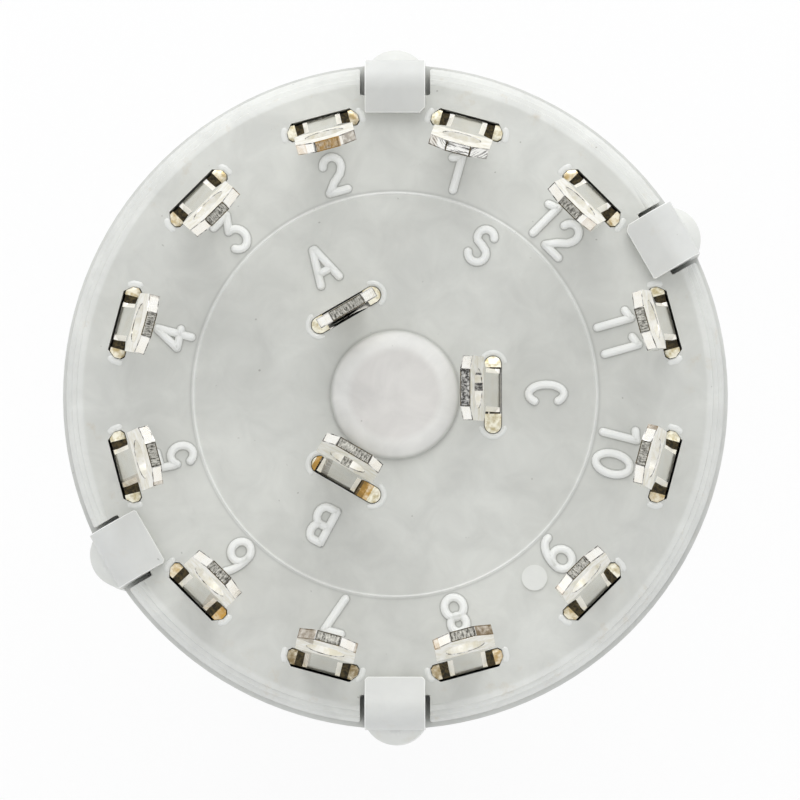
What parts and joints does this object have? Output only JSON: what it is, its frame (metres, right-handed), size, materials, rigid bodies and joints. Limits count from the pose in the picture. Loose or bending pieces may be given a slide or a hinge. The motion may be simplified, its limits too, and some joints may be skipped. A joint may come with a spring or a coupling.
{
  "type": "rotary switch",
  "caption": "Round moulded panel rotary switch with a threaded bush, a spindle and rings of solder tags on its rear.",
  "frame": {"origin": "centre of the bush at the mounting face", "axes": "+Z along the spindle axis towards the solder tags; -Z is the way that the bush and spindle point; +Y is towards the locating pip, and up in the picture"},
  "size_m": [0.0274, 0.0286, 0.0405],
  "materials": {
    "housing_plastic": "light grey moulding, satin",
    "base_plastic": "light grey moulding, slightly translucent",
    "spindle_plastic": "natural acetal, satin",
    "carrier_plastic": "black moulding",
    "ring_plastic": "black moulding",
    "tag_silver": "silver-plated brass, a little tarnished",
    "contact_silver": "silver-plated phosphor bronze",
    "spring_steel": "drawn wire",
    "ball_steel": "polished"
  },
  "bodies": {
    "body": {"housing": "housing_plastic", "base": "base_plastic", "stop_ring": "ring_plastic", "terminal_1": "tag_silver", "terminal_2": "tag_silver", "terminal_3": "tag_silver", "terminal_4": "tag_silver", "terminal_5": "tag_silver", "terminal_6": "tag_silver", "terminal_7": "tag_silver", "terminal_8": "tag_silver", "terminal_9": "tag_silver", "terminal_10": "tag_silver", "terminal_11": "tag_silver", "terminal_12": "tag_silver", "pole_a": "tag_silver", "pole_b": "tag_silver", "pole_c": "tag_silver"},
    "rotor": {"spindle": "spindle_plastic", "contact_carrier": "carrier_plastic", "detent_spring": "spring_steel", "contact_spring_a": "spring_steel", "contact_spring_b": "spring_steel", "contact_spring_c": "spring_steel"},
    "ball_1": {"detent_ball_1": "ball_steel"},
    "ball_2": {"detent_ball_2": "ball_steel"},
    "bridge_a": {"contact_bridge_a": "contact_silver"},
    "bridge_b": {"contact_bridge_b": "contact_silver"},
    "bridge_c": {"contact_bridge_c": "contact_silver"}
  },
  "joints": [
    {"name": "spindle_turn", "type": "hinge", "parent": "body", "child": "rotor", "pos_m": [0, 0, 0], "axis": [0, 0, 1], "range_deg": [0, 90]},
    {"name": "ball_1_slide", "type": "slide", "parent": "rotor", "child": "ball_1", "axis": [0.7071, 0.7071, 0], "range_m": [0, 0.00045], "stiffness_N_per_m": 1000, "springref_m": 0.003},
    {"name": "ball_2_slide", "type": "slide", "parent": "rotor", "child": "ball_2", "axis": [-0.7071, -0.7071, 0], "range_m": [0, 0.00045], "stiffness_N_per_m": 1000, "springref_m": 0.003},
    {"name": "bridge_a_slide", "type": "slide", "parent": "rotor", "child": "bridge_a", "axis": [0, 0, 1], "range_m": [-0.0003, 0], "stiffness_N_per_m": 300, "springref_m": 0.0015, "deforming": ["contact_spring_a"]},
    {"name": "bridge_b_slide", "type": "slide", "parent": "rotor", "child": "bridge_b", "axis": [0, 0, 1], "range_m": [-0.0003, 0], "stiffness_N_per_m": 300, "springref_m": 0.0015, "deforming": ["contact_spring_b"]},
    {"name": "bridge_c_slide", "type": "slide", "parent": "rotor", "child": "bridge_c", "axis": [0, 0, 1], "range_m": [-0.0003, 0], "stiffness_N_per_m": 300, "springref_m": 0.0015, "deforming": ["contact_spring_c"]}
  ]
}
